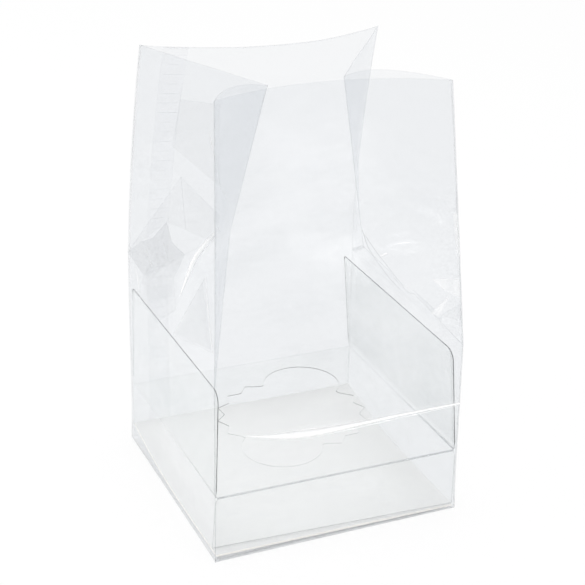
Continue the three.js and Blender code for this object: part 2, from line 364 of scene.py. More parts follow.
def card_material(sizes):
    """White-lined card: soft mottle and paper tooth on its faces, the grey-beige core at its edges."""
    graph = Graph("white_card")
    place = graph.object_point()
    edge = graph.attribute("core")
    mottle = graph.noise(place, 55.0, 4.0, 0.6)
    fibre = graph.noise(place, 900.0, 3.0, 0.6, stretch=(1.0, 0.35, 1.0))
    face = graph.blend_colours(mottle, rgba(sizes.face), rgba([value * 0.965 for value in sizes.face]))
    core = graph.blend_colours(fibre, rgba(sizes.core), rgba([value * 1.45 for value in sizes.core]))
    shade = graph.blend_colours(edge, face, core)
    body = graph.node("ShaderNodeBsdfPrincipled")
    graph.feed(body.inputs["Base Color"], shade)
    graph.feed(body.inputs["Roughness"], (0.62 + 0.2 * fibre).held())
    graph.feed(body.inputs["Normal"], graph.bump(fibre, 0.25, 0.00008))
    return graph.finish(graph.wire(body))


def placed(name, data):
    """An object at the origin that shows a mesh, a curve, a lamp or a camera."""
    item = bpy.data.objects.new(name, data)
    bpy.context.scene.collection.objects.link(item)
    return item


def mark(mesh, name, values, domain="POINT"):
    """Stores one number for each point or face under a name that a material reads."""
    mesh.attributes.new(name, "FLOAT", domain).data.foreach_set("value", values)


def mesh_object(name, points, faces, uv=None):
    """A mesh object at the origin; uv holds one pair for each point."""
    mesh = bpy.data.meshes.new(name)
    mesh.from_pydata([tuple(point) for point in points], [], faces)
    if uv is not None:
        layer = mesh.uv_layers.new(name="flat_film")
        for loop in mesh.loops:
            layer.data[loop.index].uv = uv[loop.vertex_index]
    mesh.update()
    return placed(name, mesh)


def made_plain(item):
    """Replaces an object's mesh by its evaluated one and drops its modifiers."""
    graph = bpy.context.evaluated_depsgraph_get()
    graph.update()
    mesh = bpy.data.meshes.new_from_object(item.evaluated_get(graph))
    item.modifiers.clear()
    item.data = mesh
    return item


def shell(item, thickness, offset):
    """Gives a sheet its thickness; rim faces take the next material slot."""
    solid = item.modifiers.new("wall", "SOLIDIFY")
    solid.thickness = thickness
    solid.offset = offset
    solid.use_even_offset = False
    solid.material_offset_rim = 1
    return made_plain(item)


def hand_over(item, slot, *nodes):
    """Rides a finished piece on the body and hides the CAD nodes that it stands for; its slot is not used."""
    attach(item, BODY)
    if nodes:
        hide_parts(*nodes)


def polar(angle, radius):
    """A point of the plane at an angle and a distance from its origin."""
    return Vector((math.cos(angle), math.sin(angle))) * radius


def smooth_step(value):
    value = min(1.0, max(0.0, value))
    return value * value * (3 - 2 * value)


class BagShape:
    """The film as a rule: a place on the flat film gives a point of the standing bag."""

    # For each corner crease, front or back and left or right: how far it runs in and back at the mouth,
    # how much lower it ends, and how far it stands out at the bottom.
    corners = {
        (True, False): {"in": 1.9, "lean": 3.8, "drop": 0.3, "foot": (0.8, 2.1)},
        (True, True): {"in": 10.5, "lean": 0.8, "drop": 1.5, "foot": (0.3, 0.4)},
        (False, True): {"in": 2.0, "lean": 21.8, "drop": 2.6, "foot": (0.0, 0.0)},
        (False, False): {"in": 0.0, "lean": 22.8, "drop": 0.6, "foot": (0.5, 0.0)},
    }
    # How far the front and back panels bow in at the mouth, how far the gussets' halves do and how near the
    # mouth they begin, and the height over which the spread at the bottom fades.
    bows = {True: 11, False: 15}
    gusset_bows = {(True, True): 12.0, (True, False): 8.0, (False, True): 0.0, (False, False): 0.0}
    bow_power = 5
    foot_fade = 9

    def __init__(self, film):
        self.film = film
        self.half = film.width / 2
        self.apexes = {
            True: (film.right_apex, film.right_depth, film.right_back),
            False: (film.left_apex, film.left_depth, film.left_back),
        }

    def rise(self, height):
        return max(0.0, (height - self.film.shoulder) / (self.film.height - self.film.shoulder))

    def lean(self, height):
        return self.rise(height) ** self.film.lean_power

    def corner(self, front, right, height):
        crease = self.corners[(front, right)]
        foot = math.exp(-((height / (self.foot_fade * MM)) ** 2)) * MM
        x = self.half - crease["in"] * MM * self.rise(height) + crease["foot"][0] * foot
        y = self.half - crease["lean"] * MM * self.lean(height) + crease["foot"][1] * foot
        z = height - crease["drop"] * MM * self.rise(height)
        return Vector((x if right else -x, -y if front else y, z))

    def fold(self, right, height):
        film = self.film
        apex, depth, back = self.apexes[right]
        above = (height - apex) / (film.height - apex)
        x = self.half - (depth + (film.fold_depth - depth) * above)
        y = back + (film.fold_back - back) * above
        return Vector((x if right else -x, y, height - film.fold_drop * above))

    def half_gusset(self, front, right, height, share):
        """Half a gusset, from its corner crease (share 0) to the middle (share 1)."""
        corner = self.corner(front, right, height)
        apex = self.apexes[right][0]
        if height >= apex:
            point = corner.lerp(self.fold(right, height), share)
            bow = self.gusset_bows[(front, right)] * MM * self.rise(height) ** self.bow_power
            point.y += bow * 4 * share * (1 - share)
            return point
        crease = max(0.0, (height - self.film.shoulder) / (apex - self.film.shoulder))
        if crease == 0:
            return corner.lerp(self.corner(not front, right, height), share / 2)
        top = self.fold(right, apex)
        own = self.corner(front, right, self.film.shoulder).lerp(top, crease)
        other = self.corner(not front, right, self.film.shoulder).lerp(top, crease)
        if share < crease:
            return corner.lerp(own, share / crease)
        return own.lerp(own.lerp(other, 0.5), (share - crease) / (1 - crease))

    def panel(self, front, height, share):
        """The front or back panel, from its left crease to its right one."""
        point = self.corner(front, False, height).lerp(self.corner(front, True, height), share)
        out = self.swell(height) - self.bows[front] * MM * self.lean(height)
        point.y += (-1 if front else 1) * out * 4 * share * (1 - share)
        return point

    def swell(self, height):
        if height >= self.film.shoulder:
            return 0.0
        return self.film.swell * math.sin(math.pi * height / self.film.shoulder)

    def at(self, across, height):
        """A point from its place across the flat film, in widths from the front left crease."""
        across %= 4
        side, share = int(across), across % 1
        if side == 0:
            return self.panel(True, height, share)
        if side == 2:
            return self.panel(False, height, 1 - share)
        right = side == 1
        front = (share < 0.5) == right
        half = 2 * share if share < 0.5 else 2 * (1 - share)
        return self.half_gusset(front, right, height, half)

    def off(self, across, height, out):
        """A point that stands off the film by a distance."""
        return self.at(across, height) + self.normal(across, height) * out

    def normal(self, across, height):
        step = 0.004
        sideways = self.at(across + step, height) - self.at(across - step, height)
        low = max(0.0, height - MM)
        upwards = self.at(across, min(self.film.height, height + MM)) - self.at(across, low)
        return sideways.cross(upwards).normalized()


# Creases of the flat film: how strongly each shows, and its places in millimetres across and up.
CREASES = {
    "front_left": (0.22, [(0, 0), (0, MOUTH)]),
    "front_right": (0.10, [(PANEL, 0), (PANEL, MOUTH)]),
    "back_right": (0.07, [(2 * PANEL, 0), (2 * PANEL, MOUTH)]),
    "back_left": (0.07, [(3 * PANEL, 0), (3 * PANEL, MOUTH)]),
    "right_fold": (0.12, [(1.5 * PANEL, RIGHT_APEX), (1.5 * PANEL, MOUTH)]),
    "left_fold": (0.10, [(3.5 * PANEL, LEFT_APEX), (3.5 * PANEL, MOUTH)]),
    "right_front_diagonal": (0.16, [(PANEL, SHOULDER), (126, 84), (134, 81), (139, 84), (137, 88),
                                    (1.5 * PANEL, RIGHT_APEX)]),
    "right_back_diagonal": (0.05, [(1.5 * PANEL, RIGHT_APEX), (2 * PANEL, SHOULDER)]),
    "left_back_diagonal": (0.05, [(3 * PANEL, SHOULDER), (3.5 * PANEL, LEFT_APEX)]),
    "left_front_diagonal": (0.08, [(3.5 * PANEL, LEFT_APEX), (4 * PANEL, SHOULDER)]),
}
CREASE_REACH = 1.3


def bell(value, middle, reach):
    """1 at the middle, fading smoothly on both sides of it."""
    return math.exp(-(((value - middle) / reach) ** 2))


def crease_nearness(across, height, width):
    """How near a place of the flat film is to a crease, from 0 to 1."""
    best = 1e9
    for _, path in CREASES.values():
        for low, high in zip(path, path[1:]):
            start = Vector(low) * MM
            run = Vector(high) * MM - start
            for turn in (0, 4 * width):
                place = Vector((across * width + turn, height)) - start
                share = min(1.0, max(0.0, place.dot(run) / run.length_squared))
                best = min(best, (place - run * share).length)
    return bell(best, 0, CREASE_REACH * MM)


# The film's small relief in mm: how far each form stands out or in, where its middle is across and up the
# flat film, and how far it reaches.
BROAD_RIPPLE, BROAD_PITCH = 0.30, 0.045
FINE_RIPPLE, FINE_PITCH, FINE_SHIFT = 0.14, 0.12, Vector((7, 3, 0))
BULGE, BULGE_LEVEL, BULGE_REACH = 2.6, 90, 24
DENT, DENT_RIM, DENT_MIDDLE, DENT_REACH = 1.9, 0.8, (79.5, 122), (11.5, 6.5)
RIDGE, RIDGE_LEVEL, RIDGE_FALL, RIDGE_SAG = 0.8, 50.5, 0.028, 1.6
RIDGE_START, RIDGE_RISE, RIDGE_FULLEST, RIDGE_REACH = 10, 18, 42, 22
CRUSH = 0.9
RIGHT_CRUSH, RIGHT_CRUSH_REACH = 99, 9
RIGHT_CRUSH_START, RIGHT_CRUSH_RISE, RIGHT_CRUSH_END, RIGHT_CRUSH_FALL = 60, 12, 128, 14
LEFT_CRUSH, LEFT_CRUSH_REACH = (318, 86), 12
CALM_FOOT = 6


def front_ridge(across, up):
    """The soft ridge across the front panel: how near a place is to its line, and how full it is there."""
    line = RIDGE_LEVEL - RIDGE_FALL * across - RIDGE_SAG * math.sin(math.pi * across / PANEL)
    full = smooth_step((across - RIDGE_START) / RIDGE_RISE)
    full *= 0.45 + 0.55 * bell(across, RIDGE_FULLEST, RIDGE_REACH)
    return bell(up, line, 0.8 + 0.6 * full), full * (across < PANEL)


def film_relief(across, height, width):
    """Small relief of the film: how far out it stands, how crushed it is there, and how strong the painted
    highlight along the front ridge is there.
    """
    place = Vector((across * width / MM, height / MM, 0))
    out = BROAD_RIPPLE * noise.noise(place * BROAD_PITCH)
    out += FINE_RIPPLE * noise.noise(place * FINE_PITCH + FINE_SHIFT)
    if place.x < PANEL:
        out += BULGE * bell(place.y, BULGE_LEVEL, BULGE_REACH) * math.sin(math.pi * place.x / PANEL) ** 2
    dent = sum(((place[k] - DENT_MIDDLE[k]) / DENT_REACH[k]) ** 2 for k in (0, 1))
    out -= DENT * math.exp(-dent * 1.4)
    out += DENT_RIM * math.exp(-((dent - 1.5) ** 2) * 3) * (dent < 4)
    ridge, full = front_ridge(place.x, place.y)
    out += RIDGE * ridge * full
    right_edge = bell(place.x, RIGHT_CRUSH, RIGHT_CRUSH_REACH)
    right_edge *= smooth_step((place.y - RIGHT_CRUSH_START) / RIGHT_CRUSH_RISE)
    right_edge *= 1 - smooth_step((place.y - RIGHT_CRUSH_END) / RIGHT_CRUSH_FALL)
    left_back = bell(place.x, LEFT_CRUSH[0], LEFT_CRUSH_REACH)
    left_back *= bell(place.y, LEFT_CRUSH[1], LEFT_CRUSH_REACH)
    crushed = min(1.0, right_edge + left_back)
    out += crushed * CRUSH * noise.noise(Vector((place.x * 0.16, place.y * 0.11, 4)))
    calm = smooth_step(height / (CALM_FOOT * MM))
    # The last value is the painted highlight along the front ridge, not relief.
    return out * MM * calm, crushed, ridge * full


class CUPCAKE_OT_film_bag(bpy.types.Operator):
    """Build the film bag with its bottom, creases and mouth"""

    bl_idname = "cupcake.film_bag"
    bl_label = "Film bag"

    across_steps = 288
    level_steps = 128
    floor_rings = 8

    def execute(self, context):
        film = context.scene.cupcake_film
        shape = BagShape(film)
        points, uv, nearness, crushing, whitening = [], [], [], [], []
        for level in range(self.level_steps + 1):
            height = film.height * level / self.level_steps
            for i in range(self.across_steps):
                across = 4 * i / self.across_steps
                # Besides relief and crushing, each place gets the painted highlight along the front ridge.
                out, crushed, whitened = film_relief(across, height, film.width)
                near = crease_nearness(across, height, film.width)
                points.append(shape.off(across, height, out * (1 - near)))
                uv.append((across * film.width, height))
                nearness.append(near)
                crushing.append(crushed)
                whitening.append(whitened)
        faces = self.wall_faces()
        self.add_floor(points, uv, faces)
        for values in (nearness, crushing, whitening):
            values += [0.0] * (len(points) - len(values))
        bag = mesh_object("film_bag_shell", points, faces, uv)
        for name, values in (("crease", nearness), ("crushed", crushing), ("whitened", whitening)):
            mark(bag.data, name, values)
        bag.data.materials.append(film_material("clear_film", film, film.tint))
        bag.data.materials.append(film_edge_material(film))
        shell(bag, film.wall, -1)
        bag.data.shade_smooth()
        hand_over(bag, "clear_film", "film_bag")
        return {"FINISHED"}

    def wall_faces(self):
        count = self.across_steps
        return [
            (low + i, low + (i + 1) % count, low + count + (i + 1) % count, low + count + i)
            for low in range(0, self.level_steps * count, count)
            for i in range(count)
        ]

    def add_floor(self, points, uv, faces):
        """The bottom, as rings that close in on its middle."""
        count = self.across_steps
        rim = [Vector(point) for point in points[:count]]
        last = list(range(count))
        for ring in range(1, self.floor_rings + 1):
            share = 1 - ring / self.floor_rings
            if ring == self.floor_rings:
                middle = len(points)
                points.append(Vector((0, 0, 0)))
                uv.append((0, 0))
                faces.extend((last[(i + 1) % count], last[i], middle) for i in range(count))
                return
            here = []
            for point in rim:
                here.append(len(points))
                points.append(point * share)
                uv.append((point.x * share, point.y * share))
            for i in range(count):
                after = (i + 1) % count
                faces.append((last[after], last[i], here[i], here[after]))
            last = here


def geometry_tree(name, inputs):
    """A Geometry Nodes tree with named inputs; returns it with its ends and its sockets' identifiers."""
    tree = bpy.data.node_groups.new(name, "GeometryNodeTree")
    tree.interface.new_socket("Geometry", in_out="INPUT", socket_type="NodeSocketGeometry")
    tree.interface.new_socket("Geometry", in_out="OUTPUT", socket_type="NodeSocketGeometry")
    names = {}
    for label, (kind, value) in inputs.items():
        socket = tree.interface.new_socket(label, in_out="INPUT", socket_type=kind)
        socket.default_value = value
        names[label] = socket.identifier
    start = tree.nodes.new("NodeGroupInput")
    end = tree.nodes.new("NodeGroupOutput")
    return tree, start, end, names


def add_node(tree, kind, settings=None, **links):
    """A node with its settings, and its inputs fed by name from sockets or values."""
    node = tree.nodes.new(kind)
    for key, value in (settings or {}).items():
        setattr(node, key, value)
    for key, value in links.items():
        socket = node.inputs[key.replace("_", " ")]
        if isinstance(value, bpy.types.NodeSocket):
            tree.links.new(value, socket)
        else:
            socket.default_value = value
    return node


def close_tree(tree, end, geometry, material):
    """Ends a tree in Realize Instances and Set Material."""
    real = add_node(tree, "GeometryNodeRealizeInstances", None, Geometry=geometry)
    dressed = add_node(tree, "GeometryNodeSetMaterial", None, Geometry=real.outputs[0], Material=material)
    tree.links.new(dressed.outputs[0], end.inputs[0])


THREAD_SIDES = 6


def thread_tree(material):
    """A fine closed thread along every edge path, for creases."""
    tree, start, end, names = geometry_tree("crease_threads", {
        "Radius": ("NodeSocketFloat", 0.12 * MM),
        "Sides": ("NodeSocketInt", THREAD_SIDES),
    })
    path = add_node(tree, "GeometryNodeMeshToCurve", None, Mesh=start.outputs["Geometry"])
    ring = add_node(tree, "GeometryNodeCurvePrimitiveCircle", None,
                    Radius=start.outputs["Radius"], Resolution=start.outputs["Sides"])
    thread = add_node(tree, "GeometryNodeCurveToMesh", None,
                      Curve=path.outputs[0], Profile_Curve=ring.outputs[0])
    thread.inputs["Fill Caps"].default_value = True
    close_tree(tree, end, thread.outputs[0], material)
    return tree, names


def apply_tree(item, tree, names, values):
    """Runs a tree on an object and keeps its result as a plain mesh."""
    modifier = item.modifiers.new(tree.name, "NODES")
    modifier.node_group = tree
    for label, value in values.items():
        modifier[names[label]] = value
    return made_plain(item)


def path_object(name, paths):
    """An object of edges only: one chain of points for each path."""
    points, edges = [], []
    for path in paths:
        first = len(points)
        points.extend(path)
        edges.extend((first + i, first + i + 1) for i in range(len(path) - 1))
    mesh = bpy.data.meshes.new(name)
    mesh.from_pydata([tuple(point) for point in points], edges, [])
    return placed(name, mesh)


def threads(name, paths, strengths, material, radius):
    """Fine threads along paths, each point as strong as told."""
    item = path_object(name, paths)
    mark(item.data, "strength", strengths)
    tree, names = thread_tree(material)
    return apply_tree(item, tree, names, {"Radius": radius, "Sides": THREAD_SIDES})


class CUPCAKE_OT_creases(bpy.types.Operator):
    """Lay fine threads along the film's folds, where it bends sharply"""

    bl_idname = "cupcake.creases"
    bl_label = "Creases"

    step = 2.5 * MM
    proud = 0.06 * MM
    radius = 0.13 * MM

    def execute(self, context):
        film = context.scene.cupcake_film
        shape = BagShape(film)
        paths, strengths = [], []
        for strength, crease in CREASES.values():
            for start, end in zip(crease, crease[1:]):
                paths.append(self.walk(shape, start, end, film.width))
                strengths += [strength] * len(paths[-1])
        material = crease_material("film_crease", (0.45, 0.47, 0.49))
        hand_over(threads("film_creases", paths, strengths, material, self.radius), "clear_film")
        return {"FINISHED"}

    def walk(self, shape, start, end, width):
        """Points on the film from one place of the flat film to another."""
        low, high = Vector(start) * MM, Vector(end) * MM
        steps = max(2, round((high - low).length / self.step))
        points = []
        for i in range(steps + 1):
            place = low.lerp(high, i / steps)
            across, height = place.x / width, min(place.y, shape.film.height)
            points.append(shape.off(across, height, self.proud))
        return points


# Loose folds of film: places across and up, and how far out each stands, in mm.
PEAK, PEAK_FOOT, PEAK_MIDDLE = (330, 130, 1.5), (305, 87, 0.4), (336, 108, 2.2)
PEAK_END, PEAK_SHOULDER = (350, 106, 0.5), (350, 118, 0.5)
CRUSH_TOP, CRUSH_RIGHT, CRUSH_LEFT = (326, 108, 1.8), (337, 96, 1.6), (313, 95, 1.2)
CRUSH_FOLD, CRUSH_HEEL, CRUSH_LOW, CRUSH_END = (322, 92, 2.6), (314, 79, 0.6), (329, 84, 1.4), (338, 87, 1.0)
CRUSH_NOTCH, CRUSH_BAY = (319, 98.5, 1.6), (329, 100, 2.0)
TAIL_LEFT, TAIL_LOW = (316, 73, 0.5), (341, 70, 0.5)
DOUBLE_TOP, DOUBLE_SIDE, DOUBLE_RIGHT = (324, 163, 0.6), (324, 142, 1.2), (340, 166, 0.4)
TUCK_TOP, TUCK_LEFT, TUCK_RIGHT = (359, 96, 0.8), (360, 73, 0.6), (393, 80, 0.6)
PLEATS = (
    (PEAK, PEAK_FOOT, CRUSH_LEFT, CRUSH_TOP, PEAK_MIDDLE),
    (PEAK, PEAK_MIDDLE, PEAK_END, PEAK_SHOULDER),
    (TAIL_LEFT, TAIL_LOW, (352, 80, 0.6), CRUSH_END, CRUSH_LOW, CRUSH_HEEL),
    ((315, 77, 0.9), (330, 74.5, 1.1), (344, 82, 1.0), (338.5, 86.5, 1.4), (329, 83.5, 1.8),
     (314.5, 78.8, 0.9)),
    (DOUBLE_RIGHT, DOUBLE_TOP, DOUBLE_SIDE, (347, 131, 0.4)),
    (TUCK_TOP, TUCK_LEFT, TUCK_RIGHT),
    ((359.5, 94, 1.1), (360.5, 74, 0.9), (391, 80.5, 0.9)),
    ((92, 87, 0.5), (101, 83, 0.3), (101, 91, 0.3)),
    ((112, 80, 0.6), (128, 85, 1.2), (118, 74, 0.6)),
)
# The crushed patch beside them, darker because its film is doubled many times.
CRUSHED = (
    (CRUSH_TOP, CRUSH_NOTCH, CRUSH_FOLD, CRUSH_BAY),
    (CRUSH_BAY, CRUSH_FOLD, CRUSH_RIGHT),
    (CRUSH_NOTCH, CRUSH_LEFT, PEAK_FOOT, CRUSH_HEEL, CRUSH_FOLD),
    (CRUSH_FOLD, CRUSH_HEEL, CRUSH_LOW, CRUSH_END, CRUSH_RIGHT),
)
# Edges of those folds and the dark bends, then the pale ones, which are painted highlights along folds: how
# strongly each shows and where it runs.
PLEAT_EDGES = (
    (0.05, (PEAK_FOOT, PEAK, PEAK_SHOULDER)),
    (0.06, (PEAK, PEAK_MIDDLE)),
    (0.07, (CRUSH_NOTCH, CRUSH_TOP, CRUSH_BAY, CRUSH_RIGHT)),
    (0.05, (CRUSH_LEFT, CRUSH_FOLD, CRUSH_LOW)),
    (0.05, (CRUSH_TOP, CRUSH_FOLD, CRUSH_END)),
    (0.02, (DOUBLE_RIGHT, DOUBLE_TOP, DOUBLE_SIDE)),
    (0.05, (TUCK_LEFT, TUCK_TOP, TUCK_RIGHT)),
    (0.26, ((152, 103), (151, 99), (150, 95), (149, 90), (154, 83), (157, 77), (153, 74))),
    (0.20, ((151, 101), (149, 98.5), (145, 94), (140, 90.5), (135, 87), (132, 84.5))),
)
# Painted highlights: pale lines along folds.
PALE_EDGES = (
    (0.75, ((338, 152), (341, 145), (347, 131), (353, 124))),
    (0.25, ((325, 99, 2.4), (328, 92, 2.4), (327, 87, 2.0))),
    (0.30, ((316, 92, 1.9), (319, 86, 1.9))),
    (0.50, (TUCK_LEFT, TUCK_TOP, (373, 89, 0.8), TUCK_RIGHT)),
)
# Rolled bends, each a bead whose white material is a painted highlight: places across and up, and the half
# thickness at each, in mm.
GLEAMS = (
    ((350, 112, 0.5), (345, 105, 1.2), (342.5, 98, 1.3), (345, 91, 0.9), (348, 84, 0.1)),
    ((309, 81, 0.05), (314, 75, 0.3), (321, 68, 0.05)),
    ((12, 51, 0.08), (22, 48.8, 0.8), (32, 47.7, 1.8), (44, 47.2, 1.4), (60, 47.4, 0.75), (80, 47.6, 0.55),
     (101, 47.4, 0.5)),
    ((36, 45.6, 0.05), (50, 45.3, 0.28), (66, 45.7, 0.2), (84, 46.3, 0.2), (100, 46.6, 0.1)),
    ((103, 126, 0.1), (103, 119, 0.5), (103, 112, 0.2)),
    ((68, 114.6, 0.1), (69.5, 115, 0.5), (71, 115.4, 0.1)),
)
# Small facets near the right crease, white with a painted highlight: places across and up, and how far out,
# in mm.
GLINTS = (
    ((89, 102.5, 0.6), (100.8, 101, 0.3), (94.5, 97, 0.7)),
    ((94.5, 97, 0.6), (100.8, 100.5, 0.3), (101, 93, 0.3)),
    ((88, 88.5, 0.5), (96, 94.5, 0.6), (91.5, 86.5, 0.6)),
    ((99.5, 128, 0.3), (101.4, 128, 0.2), (101.4, 110, 0.2), (100, 112, 0.3)),
)


class CUPCAKE_OT_pleats(bpy.types.Operator):
    """Lay the loose folds over the left gusset and the rolled bends, with painted highlights on the bends"""

    bl_idname = "cupcake.pleats"
    bl_label = "Loose folds"

    film_share = 0.12 * MM
    bend_out = 0.15
    doubled_tint = (0.976, 0.977, 0.978)
    crushed_tint = (0.945, 0.947, 0.949)
    edge_steps = 6
    edge_radius = 0.14 * MM

    def execute(self, context):
        film = context.scene.cupcake_film
        shape = BagShape(film)
        doubled = film_material("film_pleat", film, self.doubled_tint)
        self.facets(film, shape, "film_pleats", PLEATS, doubled)
        crushed = film_material("film_crushed", film, self.crushed_tint)
        self.facets(film, shape, "film_crushed", CRUSHED, crushed)
        # The small facets near the right crease carry a painted highlight.
        self.facets(film, shape, "film_glints", GLINTS, self.glint_material())
        self.edges(film, shape, "film_pleat_edges", PLEAT_EDGES, bpy.data.materials["film_crease"])
        # Pale lines along folds: a painted highlight.
        pale = crease_material("film_pale_edge", (0.97, 0.97, 0.97))
        self.edges(film, shape, "film_pale_edges", PALE_EDGES, pale)
        # The rolled bends carry a painted highlight.
        self.gleams(film, shape)
        return {"FINISHED"}

    def spot(self, film, shape, place):
        across, height = place[0] * MM / film.width, place[1] * MM
        out = place[2] if len(place) > 2 else self.bend_out
        return shape.off(across, height, out * MM)

    def on_film(self, film, shape, place):
        """A point on the film with its own small relief."""
        across, height = place[0] * MM / film.width, place[1] * MM
        return shape.off(across, height, film_relief(across, height, film.width)[0])

    def facets(self, film, shape, name, folds, material):
        points, faces, uv = [], [], []
        for pleat in folds:
            faces.append(tuple(range(len(points), len(points) + len(pleat))))
            points += [self.spot(film, shape, place) for place in pleat]
            uv += [(place[0] * MM, place[1] * MM) for place in pleat]
        pleats = mesh_object(name, points, faces, uv)
        pleats.data.materials.append(material)
        shell(pleats, self.film_share, 1)
        hand_over(pleats, "clear_film")

    def edges(self, film, shape, name, lines, material):
        paths, strengths = [], []
        for strength, places in lines:
            for start, end in zip(places, places[1:]):
                low, high = self.spot(film, shape, start), self.spot(film, shape, end)
                paths.append([low.lerp(high, i / self.edge_steps) for i in range(self.edge_steps + 1)])
                strengths += [strength] * len(paths[-1])
        hand_over(threads(name, paths, strengths, material, self.edge_radius), "clear_film")

    def gleams(self, film, shape):
        """Each rolled bend as a smooth tapering bead along a curve, white with a painted highlight."""
        curve = bpy.data.curves.new("film_gleams", "CURVE")
        curve.dimensions = "3D"
        curve.bevel_depth = MM
        curve.bevel_resolution = 3
        curve.resolution_u = 10
        for places in GLEAMS:
            spline = curve.splines.new("NURBS")
            spline.points.add(len(places) - 1)
            spline.use_endpoint_u = True
            spline.order_u = 3
            for i, place in enumerate(places):
                spline.points[i].co = (*self.on_film(film, shape, place), 1.0)
                spline.points[i].radius = place[2]
        item = placed("film_gleams", curve)
        mesh = bpy.data.meshes.new_from_object(item.evaluated_get(bpy.context.evaluated_depsgraph_get()))
        bpy.data.objects.remove(item)
        item = placed("film_gleams", mesh)
        mesh.materials.clear()
        mesh.materials.append(self.gleam_material())
        mesh.shade_smooth()
        hand_over(item, "clear_film")

    def glint_material(self):
        # A painted highlight: a whitish, partly opaque film for the small facets.
        graph = Graph("film_glint")
        patch = graph.noise(graph.object_point(), 150.0)
        return seen_through(graph, (0.06 + 0.30 * patch).held(), (1, 1, 1),
                            Base_Color=(0.97, 0.97, 0.97, 1.0), Roughness=0.18, Coat_Weight=1.0)

    def gleam_material(self):
        # A painted highlight: a white, nearly opaque film where the bead faces the camera.
        graph = Graph("film_gleam")
        facing = 1 - graph.wire(graph.node("ShaderNodeLayerWeight", None, 0.5), "Facing")
        patch = graph.noise(graph.object_point(), 120.0)
        return seen_through(graph, (facing ** 1.5 * (0.75 + 0.5 * patch)).held(), (1, 1, 1),
                            Base_Color=(0.98, 0.98, 0.98, 1.0), Roughness=0.15, Coat_Weight=1.0)


def rib_tree(material):
    """Thin puckers set across a path at an even pitch, each turned to the film's own directions."""
    tree, start, end, names = geometry_tree("seam_ribs", {
        "Pitch": ("NodeSocketFloat", 4.6 * MM),
        "Width": ("NodeSocketFloat", 8.0 * MM),
        "Seed": ("NodeSocketInt", 5),
    })
    path = add_node(tree, "GeometryNodeMeshToCurve", None, Mesh=start.outputs["Geometry"])
    spaced = add_node(tree, "GeometryNodeResampleCurve", {"mode": "LENGTH"}, Curve=path.outputs[0],
                      Length=start.outputs["Pitch"])
    rib = add_node(tree, "GeometryNodeMeshUVSphere", None, Segments=10, Rings=6, Radius=0.5)
    sized = add_node(tree, "ShaderNodeCombineXYZ", None, X=start.outputs["Width"], Y=0.10 * MM, Z=0.55 * MM)
    flat = add_node(tree, "GeometryNodeTransform", None, Geometry=rib.outputs[0], Scale=sized.outputs[0])
    across = add_node(tree, "GeometryNodeInputNamedAttribute", {"data_type": "FLOAT_VECTOR"}, Name="across")
    out = add_node(tree, "GeometryNodeInputNamedAttribute", {"data_type": "FLOAT_VECTOR"}, Name="out")
    turn = add_node(tree, "FunctionNodeAlignRotationToVector", {"axis": "X"}, Vector=across.outputs[0])
    face = add_node(tree, "FunctionNodeAlignRotationToVector", {"axis": "Y", "pivot_axis": "X"},
                    Rotation=turn.outputs[0], Vector=out.outputs[0])
    random = add_node(tree, "FunctionNodeRandomValue", {"data_type": "FLOAT"}, Seed=start.outputs["Seed"])
    random.inputs[2].default_value = 0.45
    random.inputs[3].default_value = 1.0
    puckers = add_node(tree, "GeometryNodeInstanceOnPoints", None, Points=spaced.outputs[0],
                       Instance=flat.outputs[0], Rotation=face.outputs[0], Scale=random.outputs[1])
    close_tree(tree, end, puckers.outputs[0], material)
    return tree, names


class CUPCAKE_OT_lap_seam(bpy.types.Operator):
    """Build the lap seam down the back panel and the puckers across it"""

    bl_idname = "cupcake.lap_seam"
    bl_label = "Lap seam"

    levels = 60
    columns = 6
    proud = 0.12 * MM
    lap = 0.12 * MM
    # Where the strip starts over the bottom, and how much shorter than the film it is.
    strip_start = 2 * MM
    strip_cut = 2.2 * MM
    # The puckers: where they start and how far they run, as shares of the height, and how much of the seam's
    # width they take.
    pucker_start = 0.2
    pucker_run = 0.78
    pucker_share = 0.95
    pucker_strength = 0.07
    pucker_seed = 5

    def execute(self, context):
        film = context.scene.cupcake_film
        shape = BagShape(film)
        self.strip(film, shape)
        self.ribs(film, shape)
        return {"FINISHED"}

    def strip(self, film, shape):
        """The overlapping strip, just proud of the back panel."""
        points, uv, faces = [], [], []
        count = self.columns + 1
        for level in range(self.levels + 1):
            height = self.strip_start + (film.height - self.strip_cut) * level / self.levels
            for i in range(count):
                place = film.seam_place + film.seam_width * (1 - i / self.columns)
                across = 3 - place / film.width
                out = film_relief(across, height, film.width)[0] + self.proud + self.lap
                points.append(shape.off(across, height, out))
                uv.append((across * film.width, height))
        for level in range(self.levels):
            for i in range(self.columns):
                low = level * count + i
                faces.append((low, low + 1, low + 1 + count, low + count))
        strip = mesh_object("film_lap_seam", points, faces, uv)
        strip.data.materials.append(film_material("film_seam", film, (0.992, 0.992, 0.994), 0.5))
        strip.data.materials.append(bpy.data.materials["film_edge"])
        shell(strip, self.lap, -1)
        strip.data.shade_smooth()
        hand_over(strip, "clear_film")

    def ribs(self, film, shape):
        middle = film.seam_place + film.seam_width / 2
        across = 3 - middle / film.width
        heights = [
            film.height * (self.pucker_start + self.pucker_run * i / self.levels)
            for i in range(self.levels + 1)
        ]
        path = path_object("film_seam_puckers", [[
            shape.off(across, height, film_relief(across, height, film.width)[0] + self.proud)
            for height in heights
        ]])
        step = 0.01
        sideways = [(shape.at(across - step, height) - shape.at(across + step, height)) for height in heights]
        outwards = [shape.normal(across, height) for height in heights]
        for name, values in (("across", sideways), ("out", outwards)):
            layer = path.data.attributes.new(name, "FLOAT_VECTOR", "POINT")
            layer.data.foreach_set("vector", [value for vector in values for value in vector])
        mark(path.data, "strength", [self.pucker_strength] * len(heights))
        tree, names = rib_tree(crease_material("seam_pucker", (0.95, 0.95, 0.95)))
        width = film.seam_width * self.pucker_share
        values = {"Pitch": film.rib_pitch, "Width": width, "Seed": self.pucker_seed}
        apply_tree(path, tree, names, values)
        path.data.shade_smooth()
        hand_over(path, "clear_film")


